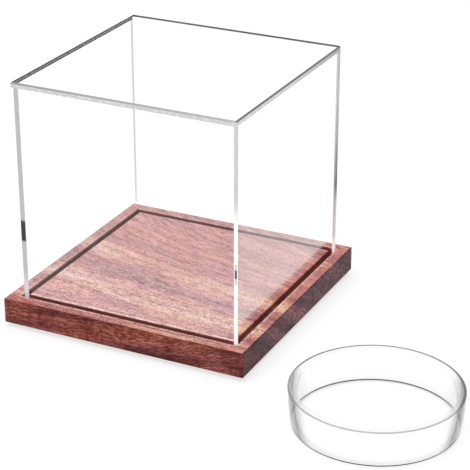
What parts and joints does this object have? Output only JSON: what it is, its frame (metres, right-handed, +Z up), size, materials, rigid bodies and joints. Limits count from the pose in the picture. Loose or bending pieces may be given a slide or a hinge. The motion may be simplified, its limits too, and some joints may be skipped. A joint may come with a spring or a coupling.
{
  "type": "baseball display case",
  "caption": "Square wood board with a routed groove that holds a clear lift-off cover over a ball, with a loose clear ring for the ball to sit on.",
  "frame": {"origin": "on the surface that the case stands on, under the middle of the board", "axes": "+Z up, +X along the board's grain towards the side where the loose ring stands, -Y towards the front, where the long grain edge shows"},
  "size_m": [0.1825, 0.1342, 0.0965],
  "materials": {
    "board_wood": "oiled solid hardwood, satin",
    "clear_sheet": "clear acrylic sheet with polished edges",
    "clear_moulding": "clear moulded plastic, glossy",
    "pad_rubber": "matt stick-on rubber pad"
  },
  "bodies": {
    "base": {"base_board": "board_wood", "pad_front_left": "pad_rubber", "pad_front_right": "pad_rubber", "pad_back_left": "pad_rubber", "pad_back_right": "pad_rubber"},
    "cover": {"cover_front_sheet": "clear_sheet", "cover_back_sheet": "clear_sheet", "cover_left_sheet": "clear_sheet", "cover_right_sheet": "clear_sheet", "cover_top_sheet": "clear_sheet"},
    "ring": {"ball_ring": "clear_moulding"}
  },
  "joints": [
    {"name": "cover_lift", "type": "slide", "parent": "base", "child": "cover", "axis": [0, 0, 1], "range_m": [0, 0.15]},
    {"name": "ring_lift", "type": "slide", "parent": "base", "child": "ring", "axis": [0, 0, 1], "range_m": [0, 0.1]}
  ]
}
